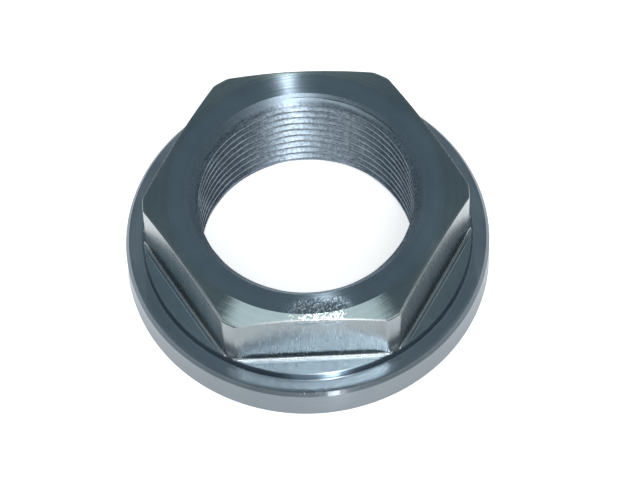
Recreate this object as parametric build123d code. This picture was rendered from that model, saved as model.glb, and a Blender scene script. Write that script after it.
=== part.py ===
from build123d import *
import math
import os

# A hexagonal flange nut, turned from one bar and milled on six sides. Sizes are in mm.
# The bearing face lies on z = 0, the bore's axis is +Z and one flat faces -Y.

# Driving sizes
across_flats = 38.2
nut_height = 16.5
flange_overhang = 2.75
flange_edge_height = 4.9
flange_edge_radius = 0.6
flange_slope_deg = 8.0
bearing_chamfer = 0.35
blank_diameter = 43.0
blank_foot_spread = 0.7
blank_foot_height = 2.5
foot_fillet_radius = 0.4
flat_floor_height = 6.8
flat_root_radius = 0.8
crown_face_diameter = 36.6
crown_slope_deg = 24.0
thread_major_diameter = 30.0
thread_pitch = 1.5
bore_chamfer_overrun = 0.4
flat_count = 6

# Sizes that follow from them
apothem = across_flats / 2
blank_radius = blank_diameter / 2
flange_radius = blank_radius + flange_overhang
thread_depth = 0.5413 * thread_pitch
bore_radius = thread_major_diameter / 2 - thread_depth
bore_mouth_radius = thread_major_diameter / 2 + bore_chamfer_overrun
bore_chamfer = bore_mouth_radius - bore_radius
foot_radius = blank_radius + blank_foot_spread
crown_face_radius = crown_face_diameter / 2
crown_drop = (blank_radius - crown_face_radius) * math.tan(math.radians(crown_slope_deg))
flange_rise = (flange_radius - foot_radius) * math.tan(math.radians(flange_slope_deg))
flange_corner_height = flange_edge_height + flange_edge_radius
flange_foot_height = flange_corner_height + flange_rise
cutter_width = 4 * flange_radius


def turned_blank():
    """The bar after turning: flange, foot, round blank and coned crown, before the bore is made."""
    outline = Polyline(
        (0, 0),
        (flange_radius - bearing_chamfer, 0),
        (flange_radius, bearing_chamfer),
        (flange_radius, flange_corner_height),
        (foot_radius, flange_foot_height),
        (blank_radius, flange_foot_height + blank_foot_height),
        (blank_radius, nut_height - crown_drop),
        (crown_face_radius, nut_height),
        (0, nut_height),
        (0, 0),
    )
    section = make_face(outline)
    rim = section.vertices().filter_by(
        lambda v: abs(v.X - flange_radius) < 0.001 and abs(v.Y - flange_corner_height) < 0.001
    )
    section = fillet(rim, flange_edge_radius)
    foot = section.vertices().filter_by(
        lambda v: abs(v.X - foot_radius) < 0.001 and abs(v.Y - flange_foot_height) < 0.001
    )
    section = fillet(foot, foot_fillet_radius)
    return revolve(Plane.XZ * section, Axis.Z)


def flat_cutter():
    """The space a milling cutter sweeps for one flat: a block with a rounded lower inside edge."""
    depth = flange_radius - apothem + 1
    height = nut_height - flat_floor_height + 1
    block = Pos(0, apothem + depth / 2, flat_floor_height + height / 2) * Box(
        cutter_width, depth, height
    )
    root = block.edges().filter_by(Axis.X).sort_by(lambda e: e.center().Y + e.center().Z)[0]
    return fillet(root, flat_root_radius)


def milled_hexagon(blank):
    """The blank with its six flats cut down to their floors."""
    cutter = flat_cutter()
    step = 360 / flat_count
    cuts = [Rot(0, 0, -90 + step * turn) * Rot(0, 0, -90) * cutter for turn in range(flat_count)]
    return blank - cuts


def bore_tool():
    """The bore to the thread's crests, with a cone at each mouth."""
    reach = 1.0
    mouth = bore_mouth_radius + reach
    section = Polyline(
        (0, -reach),
        (mouth, -reach),
        (bore_radius, bore_chamfer),
        (bore_radius, nut_height - bore_chamfer),
        (mouth, nut_height + reach),
        (0, nut_height + reach),
        (0, -reach),
    )
    return revolve(Plane.XZ * make_face(section), Axis.Z)


nut = milled_hexagon(turned_blank()) - bore_tool()
nut = nut.solids()[0]
nut.label = "nut"

os.makedirs("parts", exist_ok=True)
export_step(nut, "parts/nut.step")
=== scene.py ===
import math

import bmesh
import bpy
import numpy as np
from mathutils import Matrix, Vector


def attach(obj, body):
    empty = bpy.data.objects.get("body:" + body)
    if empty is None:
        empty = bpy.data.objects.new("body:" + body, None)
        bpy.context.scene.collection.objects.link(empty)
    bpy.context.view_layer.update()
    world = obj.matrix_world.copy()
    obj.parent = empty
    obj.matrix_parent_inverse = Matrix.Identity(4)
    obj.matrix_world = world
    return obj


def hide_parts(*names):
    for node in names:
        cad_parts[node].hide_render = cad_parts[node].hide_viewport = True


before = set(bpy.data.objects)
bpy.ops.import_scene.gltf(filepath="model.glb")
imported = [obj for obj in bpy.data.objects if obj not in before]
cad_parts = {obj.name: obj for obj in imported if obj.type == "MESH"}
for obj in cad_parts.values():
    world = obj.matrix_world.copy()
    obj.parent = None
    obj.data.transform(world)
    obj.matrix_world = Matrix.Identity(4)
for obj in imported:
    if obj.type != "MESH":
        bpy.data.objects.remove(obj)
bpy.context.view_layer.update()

# The nut's sizes, in metres. The flange's rim and slope, the blank's foot and the ledges differ
# from the CAD model's by 0.4 mm at most.
MM = 0.001
SECTORS = 6
APOTHEM = 19.1 * MM
HEIGHT = 16.5 * MM
FLANGE_RADIUS = 24.24 * MM
FLANGE_SLOPE = math.radians(2.5)
BEARING_CHAMFER = 0.35 * MM
BLANK_RADIUS = 21.5 * MM
FOOT_RADIUS = 22.0 * MM
FOOT_HEIGHT = 2.5 * MM
FOOT_FILLET = 0.18 * MM
FLOOR_HEIGHT = 6.65 * MM
ROOT_RADIUS = 0.4 * MM
EDGE_SOFTNESS = 0.12 * MM
CROWN_FACE_RADIUS = 18.3 * MM
CROWN_SLOPE = math.radians(24.0)
CROWN_DROP = (BLANK_RADIUS - CROWN_FACE_RADIUS) * math.tan(CROWN_SLOPE)

# The bevel round the rim's upper edge: where it starts, its rise and its run, and the points that
# ease its two ends
BEVEL_HEIGHT = 4.75 * MM
BEVEL_RISE = 0.65 * MM
BEVEL_RUN = 0.42 * MM
BEVEL_FOOT_IN = 0.03 * MM
BEVEL_FOOT_UP = 0.10 * MM
BEVEL_HEAD_OUT = 0.05 * MM
BEVEL_HEAD_DOWN = 0.09 * MM
BEVEL_END_DOWN = 0.02 * MM
SLOPE_GAP = 0.10 * MM
FLANGE_FOOT_HEIGHT = BEVEL_HEIGHT + BEVEL_RISE + (FLANGE_RADIUS - FOOT_RADIUS) * math.tan(FLANGE_SLOPE)

# The fillet at the blank's foot: its centre and where its arc starts and ends, in degrees
FILLET_CENTRE = (FOOT_RADIUS + FOOT_FILLET * 0.9, FLANGE_FOOT_HEIGHT + FOOT_FILLET * 0.93)
FILLET_START = -98
FILLET_END = -164

# The line scored along a flat's root; its points are counted in widths outward and depths upward
SCORE_WIDTH = 0.14 * MM
SCORE_DEPTH = 0.14 * MM
SCORE_ROOM = 5 * SCORE_WIDTH
SCORE_START = 2.5
SCORE_POINTS = ((1.6, 0.3), (1.0, -1.0), (0.0, -0.4))

# The thread, whose crests and roots are shares of the pitch
THREAD_RADIUS = 15.0 * MM
PITCH = 1.5 * MM
THREAD_DEPTH = 0.5413 * PITCH
BORE_RADIUS = THREAD_RADIUS - THREAD_DEPTH
MOUTH_RADIUS = 15.4 * MM
MOUTH_FINISH = 0.85 * MM
ROOT_SHARE = 0.125
CREST_SHARE = 0.75

# How many points the mesh has along each stretch of its section
BEARING_POINTS = 6
RIM_POINTS = 8
SLOPE_POINTS = 7
FILLET_POINTS = 6
BLANK_POINTS = 5
LEDGE_POINTS = 8
ROOT_POINTS = 9
FLAT_POINTS = 13
SHOULDER_POINTS = 11
CROWN_POINTS = 9
TOP_POINTS = 10
BORE_POINTS = 176

# The mesh's columns between a flat's middle and the next sector, with angles in degrees
FLAT_COLUMNS = 14
END_COLUMNS = 4
CORNER_STEPS = (-0.65, -0.4, -0.2, 0, 0.2, 0.4, 0.65)
BEFORE_CORNER = 0.9
AFTER_CORNER = 1.1

JOIN_WITHIN = 0.002 * MM
NO_LENGTH = 0.001 * MM
SHARP_ANGLE = math.radians(16)

# Zones of the surface, one material each
BEARING, RIM, FLANGE_TOP, FLOOR, FLAT, CROWN, TOP, MOUTH, BORE = range(9)


def soft_min(first, second, reach):
    """The smaller of two values, blended where they are within reach of each other."""
    overlap = np.clip(reach - np.abs(first - second), 0, None)
    return np.minimum(first, second) - overlap ** 2 / (4 * reach)


def crown_radius(height):
    """The crown cone's radius at a height."""
    return CROWN_FACE_RADIUS + (HEIGHT - height) / math.tan(CROWN_SLOPE)


def blank_profile(height):
    """The turned blank's radius at a height between the flange and the crown."""
    foot_share = np.clip((height - FLANGE_FOOT_HEIGHT) / FOOT_HEIGHT, 0, 1)
    side = FOOT_RADIUS + (BLANK_RADIUS - FOOT_RADIUS) * foot_share
    return soft_min(side, crown_radius(height), 2 * EDGE_SOFTNESS)


def root_spread(height):
    """How far the milling cutter's rounded corner stands off the flat at a height."""
    rise = np.clip(height - FLOOR_HEIGHT, 0, ROOT_RADIUS)
    return ROOT_RADIUS - np.sqrt(ROOT_RADIUS ** 2 - (ROOT_RADIUS - rise) ** 2)


def thread_radius(turn, height):
    """The internal thread's wall at an angle, in turns, and a height."""
    place = (height / PITCH - turn) % 1.0
    away = np.abs(place - 0.5) * 2
    share = np.clip((CREST_SHARE - away) / (CREST_SHARE - ROOT_SHARE), 0, 1)
    return BORE_RADIUS + THREAD_DEPTH * share


def angle_from_flat(angle):
    """An angle round the axis, measured from the middle of the nearest flat."""
    half = math.pi / SECTORS
    return (angle + math.pi / 2 + half) % (2 * half) - half


def column_angles():
    """Angles of the mesh's columns, closer together where the flats meet the round blank."""
    half = math.degrees(math.pi / SECTORS)
    corner = math.degrees(math.acos(APOTHEM / BLANK_RADIUS))
    to_corner = np.linspace(0, corner - BEFORE_CORNER, FLAT_COLUMNS)
    over_corner = corner + np.array(CORNER_STEPS)
    to_end = np.linspace(corner + AFTER_CORNER, half, END_COLUMNS)
    one_side = np.concatenate([to_corner, over_corner, to_end])
    local = np.concatenate([-one_side[:0:-1], one_side[:-1]])
    angles = np.concatenate([local + turn * 2 * half for turn in range(SECTORS)])
    return np.radians(angles - 90)


def arc_points(centre, radius, start, end, count):
    """Points along an arc between two angles in degrees."""
    angles = np.radians(np.linspace(start, end, count))
    across, up = centre
    return [(across + radius * math.cos(angle), up + radius * math.sin(angle)) for angle in angles]


def after_start(start, end, count):
    """Even steps from start to end, without the start itself."""
    return np.linspace(start, end, count)[1:]


def zoned(points, zone):
    """Rows of the mesh: each point's radius and height with the zone it belongs to."""
    return [(radius, height, zone) for radius, height in points]


def flange_rows():
    """Rows out across the bearing face, up the rim, in along the flange and up to the ledges."""
    chamfer_start = FLANGE_RADIUS - BEARING_CHAMFER
    bearing = [(radius, 0.0) for radius in np.linspace(MOUTH_RADIUS, chamfer_start, BEARING_POINTS)]

    bevel_top = BEVEL_HEIGHT + BEVEL_RISE
    bevel_end = FLANGE_RADIUS - BEVEL_RUN
    rim_heights = np.linspace(BEARING_CHAMFER, BEVEL_HEIGHT, RIM_POINTS)
    rim = [(FLANGE_RADIUS, height) for height in rim_heights]
    rim.append((FLANGE_RADIUS - BEVEL_FOOT_IN, BEVEL_HEIGHT + BEVEL_FOOT_UP))
    rim.append((bevel_end + BEVEL_HEAD_OUT, bevel_top - BEVEL_HEAD_DOWN))
    rim.append((bevel_end, bevel_top - BEVEL_END_DOWN))

    flange = []
    for radius in after_start(bevel_end - SLOPE_GAP, FOOT_RADIUS + FOOT_FILLET, SLOPE_POINTS):
        flange.append((radius, FLANGE_FOOT_HEIGHT - (radius - FOOT_RADIUS) * math.tan(FLANGE_SLOPE)))
    flange += arc_points(FILLET_CENTRE, FOOT_FILLET, FILLET_START, FILLET_END, FILLET_POINTS)[1:]
    for height in after_start(flange[-1][1], FLOOR_HEIGHT - EDGE_SOFTNESS / 2, BLANK_POINTS):
        flange.append((blank_profile(height), height))
    return zoned(bearing, BEARING) + zoned(rim, RIM) + zoned(flange, FLANGE_TOP)


def ledge_rows(flat):
    """Rows in across the ledge to a flat at this radius, ending with the scored line."""
    blank = blank_profile(FLOOR_HEIGHT)
    open_share = min(1.0, max(0.0, (blank - flat) / (4 * EDGE_SOFTNESS)))
    outer = blank - open_share * EDGE_SOFTNESS / 2
    inner = min(flat + ROOT_RADIUS, outer)
    room = min(1.0, (outer - inner) / SCORE_ROOM)
    score_start = inner + room * SCORE_START * SCORE_WIDTH
    points = [(radius, FLOOR_HEIGHT) for radius in np.linspace(outer, score_start, LEDGE_POINTS)]
    for widths, depths in SCORE_POINTS:
        points.append((inner + room * widths * SCORE_WIDTH, FLOOR_HEIGHT + room * depths * SCORE_DEPTH))
    return zoned(points, FLOOR)


def side_rows(flat):
    """Rows up a flat at this radius, or up the round blank where the flat lies outside it."""
    crown_meets = HEIGHT - (flat - CROWN_FACE_RADIUS) * math.tan(CROWN_SLOPE)
    side_top = min(crown_meets, HEIGHT) if flat < BLANK_RADIUS else HEIGHT - CROWN_DROP
    shoulder = side_top - 4 * EDGE_SOFTNESS
    heights = list(after_start(0, 1, ROOT_POINTS) ** 2 * ROOT_RADIUS + FLOOR_HEIGHT)
    heights += list(after_start(FLOOR_HEIGHT + ROOT_RADIUS, shoulder, FLAT_POINTS))
    heights += list(after_start(shoulder, side_top + EDGE_SOFTNESS, SHOULDER_POINTS))
    points = []
    for height in heights:
        radius = soft_min(flat + root_spread(height), blank_profile(height), EDGE_SOFTNESS)
        points.append((radius, min(height, HEIGHT)))
    return zoned(points, FLAT)


def top_rows(side_radius, side_height):
    """Rows from the top of the side, up the crown and in across the top face to the bore."""
    crown = []
    for height in after_start(side_height, HEIGHT, CROWN_POINTS):
        crown.append((min(crown_radius(height), side_radius), height))
    top = [(radius, HEIGHT) for radius in after_start(CROWN_FACE_RADIUS, MOUTH_RADIUS, TOP_POINTS)]
    return zoned(crown, CROWN) + zoned(top, TOP)


def bore_rows(angle):
    """Rows down the threaded bore, which has a chamfered mouth at each end."""
    turn = angle / (2 * math.pi)
    rows = []
    for height in after_start(HEIGHT, 0, BORE_POINTS):
        into = min(height, HEIGHT - height)
        radius = max(thread_radius(turn, height), MOUTH_RADIUS - into)
        rows.append((radius, height, MOUTH if into < MOUTH_FINISH else BORE))
    return rows


def nut_column(angle):
    """Rows of the mesh at one angle, from the bearing face over the nut to the bore's foot."""
    flat = APOTHEM / math.cos(angle_from_flat(angle))
    rows = flange_rows() + ledge_rows(flat) + side_rows(flat)
    side_radius, side_height, _ = rows[-1]
    return rows + top_rows(side_radius, side_height) + bore_rows(angle)


def build_nut():
    """The nut's closed surface, its columns joined round the axis and its rows round the section."""
    angles = column_angles()
    columns = [nut_column(angle) for angle in angles]
    row_count = len(columns[0])
    vertices = []
    for angle, rows in zip(angles, columns):
        for radius, height, _ in rows:
            vertices.append((radius * math.cos(angle), radius * math.sin(angle), height))
    zones = [zone for _, _, zone in columns[0]]
    faces = []
    face_zones = []
    for column in range(len(angles)):
        here = column * row_count
        there = ((column + 1) % len(angles)) * row_count
        for row in range(row_count):
            after = (row + 1) % row_count
            faces.append((here + row, there + row, there + after, here + after))
            face_zones.append(zones[after] if after else BEARING)
    mesh = bpy.data.meshes.new("nut_body")
    mesh.from_pydata(vertices, [], faces)
    mesh.update()
    nut = bpy.data.objects.new("nut_body", mesh)
    bpy.context.scene.collection.objects.link(nut)
    for face, zone in zip(mesh.polygons, face_zones):
        face.material_index = zone
    return nut


def clean_mesh(nut):
    """Join the points that meet and drop the faces with no area."""
    work = bmesh.new()
    work.from_mesh(nut.data)
    bmesh.ops.remove_doubles(work, verts=work.verts, dist=JOIN_WITHIN)
    bmesh.ops.dissolve_degenerate(work, edges=work.edges, dist=NO_LENGTH)
    bmesh.ops.recalc_face_normals(work, faces=work.faces)
    work.to_mesh(nut.data)
    work.free()


# Where the cutters left the steel ragged, and where painted glints go: above the front flat, along
# the ledges' outer lips and on the rim's bevel in front. The patches kept to the front sit where
# highlights fall. A plateau over 1 keeps a patch at full strength further out.
SCUFF_GLINT_MIDDLE = 1.0 * MM
SCUFF_GLINT_HALF_WIDTH = 2.6 * MM
SCUFF_GLINT_PLATEAU = 1.8
SCUFF_GLINT_REACH = 3.2 * MM
SCUFF_GLINT_FADE = 1.6 * MM
LIP_WIDTH = 0.3 * MM
LIP_ABOVE = 0.1 * MM
LIP_BELOW = 1.0 * MM
LIP_STRENGTH = 0.04
RIM_PATCH_WIDTH = 0.9 * MM
RIM_PATCH_HALF_LENGTH = 3.5 * MM
RIM_PATCH_PLATEAU = 1.4
RIM_PATCH_STRENGTH = 0.45


def nearness(distance, width, plateau=1.0):
    """One at no distance, falling to nothing over a width."""
    return np.clip(plateau - np.abs(distance) / width, 0, 1)


def mark_burrs_and_glints(nut):
    """A value on each point: how ragged the cutters left it, which also places the painted glints."""
    mesh = nut.data
    places = np.empty(len(mesh.vertices) * 3)
    mesh.vertices.foreach_get("co", places)
    x, y, z = places.reshape(-1, 3).T
    radius = np.hypot(x, y)
    in_front = y < 0
    beyond_flat = radius * np.cos(angle_from_flat(np.arctan2(y, x))) - APOTHEM
    # Painted glints over real scuffing: this patch is kept to the front, where highlights fall.
    scuffed_and_glinting = np.clip((beyond_flat + SCUFF_GLINT_REACH) / SCUFF_GLINT_FADE, 0, 1) * (z > HEIGHT - CROWN_DROP)
    scuffed_and_glinting *= nearness(x - SCUFF_GLINT_MIDDLE, SCUFF_GLINT_HALF_WIDTH, SCUFF_GLINT_PLATEAU) * in_front
    lip = nearness(radius - blank_profile(FLOOR_HEIGHT), LIP_WIDTH)
    lip *= (z < FLOOR_HEIGHT + LIP_ABOVE) * (z > FLOOR_HEIGHT - LIP_BELOW)
    # Painted glints on the rim's bevel in front, where a highlight falls, over some real roughness.
    bevel = nearness(radius - FLANGE_RADIUS + BEVEL_RUN, RIM_PATCH_WIDTH) * (z > BEVEL_HEIGHT)
    bevel *= nearness(x, RIM_PATCH_HALF_LENGTH, RIM_PATCH_PLATEAU) * in_front
    ragged_and_glinting = np.clip(scuffed_and_glinting + LIP_STRENGTH * lip + RIM_PATCH_STRENGTH * bevel, 0, 1)
    # This value marks real burrs and also places the painted glint flecks in the steel's colour.
    burr_and_glint = mesh.attributes.new("burr_and_glint", "FLOAT", "POINT")
    burr_and_glint.data.foreach_set("value", ragged_and_glinting)


nut = build_nut()
clean_mesh(nut)
mark_burrs_and_glints(nut)


class Graph:
    """Short calls for building one material's nodes."""

    def __init__(self, name):
        self.material = bpy.data.materials.new(name)
        self.material.use_nodes = True
        self.tree = self.material.node_tree
        self.tree.nodes.clear()

    def node(self, kind, inputs=None, **settings):
        """Add a node, linking the inputs that are sockets and setting the others."""
        made = self.tree.nodes.new(kind)
        for key, value in settings.items():
            setattr(made, key, value)
        for key, value in (inputs or {}).items():
            if isinstance(value, bpy.types.NodeSocket):
                self.tree.links.new(value, made.inputs[key])
            else:
                made.inputs[key].default_value = value
        return made

    def math(self, operation, first, second=0.0, clamp=False):
        inputs = {0: first, 1: second}
        return self.node("ShaderNodeMath", inputs, operation=operation, use_clamp=clamp).outputs[0]

    def plus(self, first, second, clamp=False):
        return self.math("ADD", first, second, clamp)

    def minus(self, first, second, clamp=False):
        return self.math("SUBTRACT", first, second, clamp)

    def times(self, first, second, clamp=False):
        return self.math("MULTIPLY", first, second, clamp)

    def noise(self, vector, scale, detail, rough):
        inputs = {"Vector": vector, "Scale": scale, "Detail": detail, "Roughness": rough}
        return self.node("ShaderNodeTexNoise", inputs).outputs["Fac"]

    def vector(self, x, y, z=0.0):
        return self.node("ShaderNodeCombineXYZ", {0: x, 1: y, 2: z}).outputs[0]

    def mix(self, share, first, second, blend="MIX"):
        """Blend two colours, through the node's sockets for colours."""
        inputs = {"Factor": share, 6: first, 7: second}
        return self.node("ShaderNodeMix", inputs, data_type="RGBA", blend_type=blend).outputs[2]

    def ramp(self, value, stops):
        """Turn a value into a colour by a ramp of places and colours."""
        made = self.node("ShaderNodeValToRGB", {0: value})
        band = made.color_ramp
        while len(band.elements) < len(stops):
            band.elements.new(0.5)
        for element, (place, colour) in zip(band.elements, stops):
            element.position = place
            element.color = (*colour, 1)
        return made.outputs["Color"]

    def span(self, value, low, high):
        """Stretch a value between 0 and 1 to run from low to high."""
        return self.node("ShaderNodeMapRange", {0: value, 3: low, 4: high}).outputs[0]

    def finish(self, surface):
        """Link the surface's shader to the output and return the material."""
        out = self.node("ShaderNodeOutputMaterial")
        self.tree.links.new(surface, out.inputs["Surface"])
        return self.material


# The steel's patterns, with scales in cells to the metre and depths in metres
LINE_SCALE = 4200.0
BROAD_SCALE = 900.0
STAIN_SCALE = 110.0
SPECK_SCALE = 1400.0
GRAIN_SCALE = 2800.0
NICK_SCALE = 210.0
MILLED_STRETCH = 0.04
STAIN_CONTRAST = (-0.3, 1.3)
DARK_STOP = 0.2
PALE_STOP = 0.8
STREAK_TONES = (0.80, 1.20)
GRAIN_TONE = 2.4e5
STAIN_ROUGHNESS = 0.04
LINE_ROUGHNESS = 0.03
BURR_POLISH = 0.5
TORN_GLINT_LEVEL = 0.625
TORN_GLINT_SPREAD = 0.10
TORN_GLINT_CONTRAST = {"turned": 20.0, "milled": 3.0}
SPECK_DEPTH = 0.4e-6
BURR_DEPTH = 100e-6
NICK_SIZE = 0.05
NICK_DEPTH = 200e-6
ANISOTROPIC_TURN = {"turned": 0.25, "milled": 0.0}

# The darkest and palest steel of each cut, and bright steel painted as glints where the surface is torn
SKIN_STEEL = ((0.205, 0.265, 0.315), (0.262, 0.330, 0.385))
CUT_STEEL = ((0.225, 0.256, 0.273), (0.308, 0.336, 0.347))
LEDGE_STEEL = ((0.230, 0.285, 0.330), (0.295, 0.355, 0.400))
RIM_STEEL = ((0.192, 0.222, 0.248), (0.238, 0.268, 0.296))
FLANGE_STEEL = ((0.218, 0.266, 0.310), (0.270, 0.324, 0.372))
CROWN_STEEL = ((0.190, 0.248, 0.268), (0.238, 0.302, 0.312))
MOUTH_STEEL = ((0.185, 0.235, 0.280), (0.245, 0.300, 0.350))
# The bore's darker, bluish steel is partly painted shade inside the bore.
BORE_STEEL = ((0.150, 0.188, 0.230), (0.215, 0.260, 0.305))
# Painted glint colour: pale steel, brighter than the steel itself, standing in for highlights.
FRESH_STEEL_GLINT = (0.80, 0.83, 0.84, 1)


def steel(name, marks, roughness, mark_depth, anisotropic, speck_depth=SPECK_DEPTH, colours=SKIN_STEEL):
    """Machined steel whose cutting marks run round the axis or down a flat."""
    graph = Graph(name)
    place = graph.node("ShaderNodeTexCoord").outputs["Object"]
    x, y, z = graph.node("ShaderNodeSeparateXYZ", {0: place}).outputs
    if marks == "turned":
        radius = graph.math("SQRT", graph.plus(graph.times(x, x), graph.times(y, y)))
        along = graph.vector(radius, z)
    else:
        along = graph.vector(x, y, graph.times(z, MILLED_STRETCH))
    lines = graph.noise(along, LINE_SCALE, detail=2.0, rough=0.6)
    broad = graph.noise(along, BROAD_SCALE, detail=2.0, rough=0.5)
    stain = graph.noise(place, STAIN_SCALE, detail=4.0, rough=0.6)
    speck = graph.noise(place, SPECK_SCALE, detail=2.0, rough=0.7)
    grain = graph.noise(place, GRAIN_SCALE, detail=3.0, rough=0.7)
    streaks = graph.plus(lines, broad)
    burr_and_glint = graph.node("ShaderNodeAttribute", attribute_name="burr_and_glint").outputs["Fac"]

    # The colour: stained and streaked, with bright flecks of painted glint where the surface is torn
    dark, pale = colours
    colour = graph.ramp(graph.span(stain, *STAIN_CONTRAST), [(DARK_STOP, dark), (PALE_STOP, pale)])
    grain_tone = graph.times(graph.minus(grain, 0.5), speck_depth * GRAIN_TONE)
    tone = graph.times(graph.span(graph.times(streaks, 0.5), *STREAK_TONES), graph.plus(grain_tone, 1.0))
    tones = graph.node("ShaderNodeCombineColor", {0: tone, 1: tone, 2: tone}).outputs[0]
    toned = graph.mix(1.0, colour, tones, "MULTIPLY")
    # Painted glints: flecks of pale steel in the colour stand in for highlights on the torn patches.
    torn_glint = graph.minus(graph.plus(grain, graph.times(burr_and_glint, TORN_GLINT_SPREAD)), TORN_GLINT_LEVEL)
    glint_flecks = graph.times(torn_glint, graph.times(burr_and_glint, TORN_GLINT_CONTRAST[marks]), clamp=True)
    glint_flecked = graph.mix(glint_flecks, toned, FRESH_STEEL_GLINT)

    # The roughness: it wanders with the stains and the lines and is lower on the torn patches
    stained = graph.span(stain, roughness - STAIN_ROUGHNESS, roughness + STAIN_ROUGHNESS)
    polished = graph.times(stained, graph.span(burr_and_glint, 1.0, BURR_POLISH))
    rough = graph.plus(graph.span(lines, -LINE_ROUGHNESS, LINE_ROUGHNESS), polished, clamp=True)

    # The relief: cutting marks, pits that deepen where it is torn, and a few nicks
    scored = graph.times(streaks, mark_depth)
    pitted = graph.times(speck, graph.plus(graph.times(burr_and_glint, BURR_DEPTH), speck_depth))
    cells = graph.node("ShaderNodeTexVoronoi", {"Vector": place, "Scale": NICK_SCALE}).outputs["Distance"]
    nicks = graph.times(graph.minus(NICK_SIZE, cells, clamp=True), NICK_DEPTH)
    relief = graph.plus(graph.plus(scored, pitted), nicks)
    bump = graph.node("ShaderNodeBump", {"Strength": 1.0, "Distance": 1.0, "Height": relief}).outputs[0]

    shader = graph.node("ShaderNodeBsdfPrincipled", {
        "Base Color": glint_flecked,
        "Metallic": 1.0,
        "Roughness": rough,
        "Normal": bump,
        "Anisotropic": anisotropic,
    })
    if anisotropic:
        round_axis = graph.node("ShaderNodeTangent", direction_type="RADIAL", axis="Z").outputs[0]
        graph.tree.links.new(round_axis, shader.inputs["Tangent"])
        shader.inputs["Anisotropic Rotation"].default_value = ANISOTROPIC_TURN[marks]
    return graph.finish(shader.outputs[0])


# Each zone's roughness, depth of cutting marks and anisotropy, then its pits and its colours
materials = {
    BEARING: steel("steel_bearing", "turned", 0.34, 1.2e-6, 0.7),
    RIM: steel("steel_rim", "turned", 0.24, 0.6e-6, 1.0, colours=RIM_STEEL),
    FLANGE_TOP: steel("steel_flange", "turned", 0.20, 0.4e-6, 0.3, colours=FLANGE_STEEL),
    FLOOR: steel("steel_floor", "milled", 0.24, 0.15e-6, 0.0, 0.2e-6, LEDGE_STEEL),
    FLAT: steel("steel_flat", "milled", 0.27, 3.2e-6, 0.70, colours=CUT_STEEL),
    CROWN: steel("steel_crown", "turned", 0.13, 10.0e-6, 1.0, colours=CROWN_STEEL),
    TOP: steel("steel_top", "turned", 0.12, 4.0e-6, 1.0),
    MOUTH: steel("steel_mouth", "turned", 0.40, 1.0e-6, 0.5, 3.0e-6, MOUTH_STEEL),
    BORE: steel("steel_bore", "turned", 0.37, 1.0e-6, 0.6, 10.0e-6, BORE_STEEL),
}
for zone in sorted(materials):
    nut.data.materials.append(materials[zone])
nut.data.polygons.foreach_set("use_smooth", [True] * len(nut.data.polygons))
nut.data.set_sharp_from_angle(angle=SHARP_ANGLE)

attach(nut, "root")
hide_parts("nut")

# The studio: a paper floor, a pale sky and the lamps, in metres and watts
FLOOR_SIZE = 3.0
FLOOR_GAP = 0.02 * MM
PAPER = (0.86, 0.86, 0.86, 1)
PAPER_GLOW = 0.60
SKY = (0.77, 0.92, 1.0, 1)
SKY_STRENGTH = 0.33
LAMP_TARGET = Vector((0, 0, 0.01))
WHITE = (1.0, 1.0, 1.0)
WARM = (1.0, 1.0, 0.97)
GREENISH = (0.93, 1.0, 0.90)
BLUISH = (0.75, 0.95, 1.0)


def build_floor():
    """Paper under the nut, which glows a little to the camera and in reflections only."""
    mesh = bpy.data.meshes.new("floor")
    half = FLOOR_SIZE / 2
    corners = [(-half, -half, 0), (half, -half, 0), (half, half, 0), (-half, half, 0)]
    mesh.from_pydata(corners, [], [(0, 1, 2, 3)])
    floor = bpy.data.objects.new("floor", mesh)
    floor.location.z = -FLOOR_GAP
    bpy.context.scene.collection.objects.link(floor)
    graph = Graph("floor_paper")
    path = graph.node("ShaderNodeLightPath")
    glossy = graph.math("MAXIMUM", path.outputs["Is Glossy Ray"], path.outputs["Is Transmission Ray"])
    seen = graph.math("MAXIMUM", path.outputs["Is Camera Ray"], glossy)
    paper = graph.node("ShaderNodeBsdfDiffuse", {"Color": PAPER}).outputs[0]
    glow = graph.node("ShaderNodeEmission", {"Color": (*WHITE, 1), "Strength": PAPER_GLOW}).outputs[0]
    both = graph.node("ShaderNodeAddShader", {0: paper, 1: glow}).outputs[0]
    mixed = graph.node("ShaderNodeMixShader", {0: seen, 1: paper, 2: both}).outputs[0]
    mesh.materials.append(graph.finish(mixed))


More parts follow.
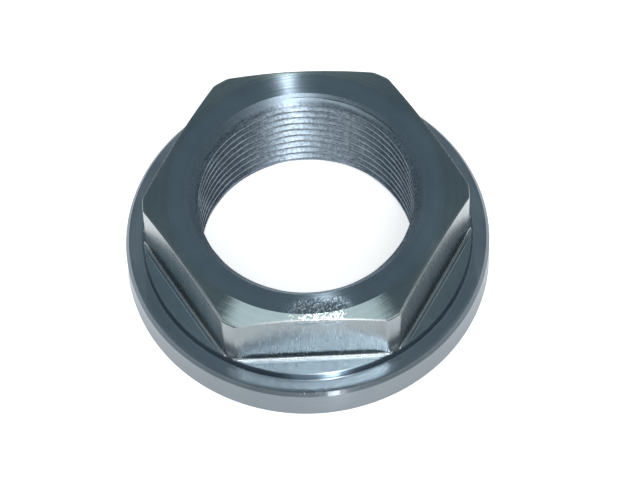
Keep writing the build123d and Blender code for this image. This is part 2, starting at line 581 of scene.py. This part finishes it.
def build_world():
    """A pale, even sky."""
    world = bpy.data.worlds.new("studio")
    bpy.context.scene.world = world
    world.use_nodes = True
    background = world.node_tree.nodes["Background"]
    background.inputs["Color"].default_value = SKY
    background.inputs["Strength"].default_value = SKY_STRENGTH


def area_light(name, place, width, depth, power, colour=WHITE):
    """A rectangular lamp aimed at the nut."""
    light = bpy.data.lights.new(name, "AREA")
    light.shape = "RECTANGLE"
    light.size = width
    light.size_y = depth
    light.energy = power
    light.color = colour
    lamp = bpy.data.objects.new(name, light)
    lamp.location = place
    lamp.rotation_euler = (LAMP_TARGET - Vector(place)).to_track_quat("-Z", "Y").to_euler()
    bpy.context.scene.collection.objects.link(lamp)


build_floor()
build_world()
area_light("key", (0.07, -0.28, 0.55), 0.05, 0.05, 0.38)
area_light("fill", (-0.02, -0.22, 0.62), 0.60, 0.36, 1.15, WARM)
area_light("front", (0.084, -0.452, 0.396), 0.010, 0.34, 1.35)
area_light("back", (-0.0187, 0.485, 0.353), 0.006, 0.06, 1.9)
area_light("low", (0.02, -0.50, 0.31), 0.26, 0.12, 0.22)
area_light("right", (0.260, 0.150, 0.530), 0.20, 0.20, 0.05, GREENISH)
area_light("left", (-0.260, 0.150, 0.530), 0.16, 0.16, 0.05, BLUISH)

# The camera looks down at the nut from in front.
ELEVATION = math.radians(59.84)
DISTANCE = 0.5929
ROLL = math.radians(-2.5)
camera_data = bpy.data.cameras.new("camera")
camera_data.sensor_width = 36.0
camera_data.lens = 248.37
camera_data.shift_x = 0.0181
camera_data.shift_y = 0.0245
camera_data.clip_start = 0.01
camera = bpy.data.objects.new("camera", camera_data)
forward = Vector((0, math.cos(ELEVATION), -math.sin(ELEVATION)))
across = Vector((1, 0, 0))
up = across.cross(forward)
rolled_across = across * math.cos(ROLL) + up * math.sin(ROLL)
rolled_up = up * math.cos(ROLL) - across * math.sin(ROLL)
view = Matrix((rolled_across, rolled_up, -forward)).transposed().to_4x4()
camera.matrix_world = Matrix.Translation(-forward * DISTANCE) @ view
bpy.context.scene.collection.objects.link(camera)
bpy.context.scene.camera = camera

bpy.context.scene.view_settings.view_transform = "Standard"
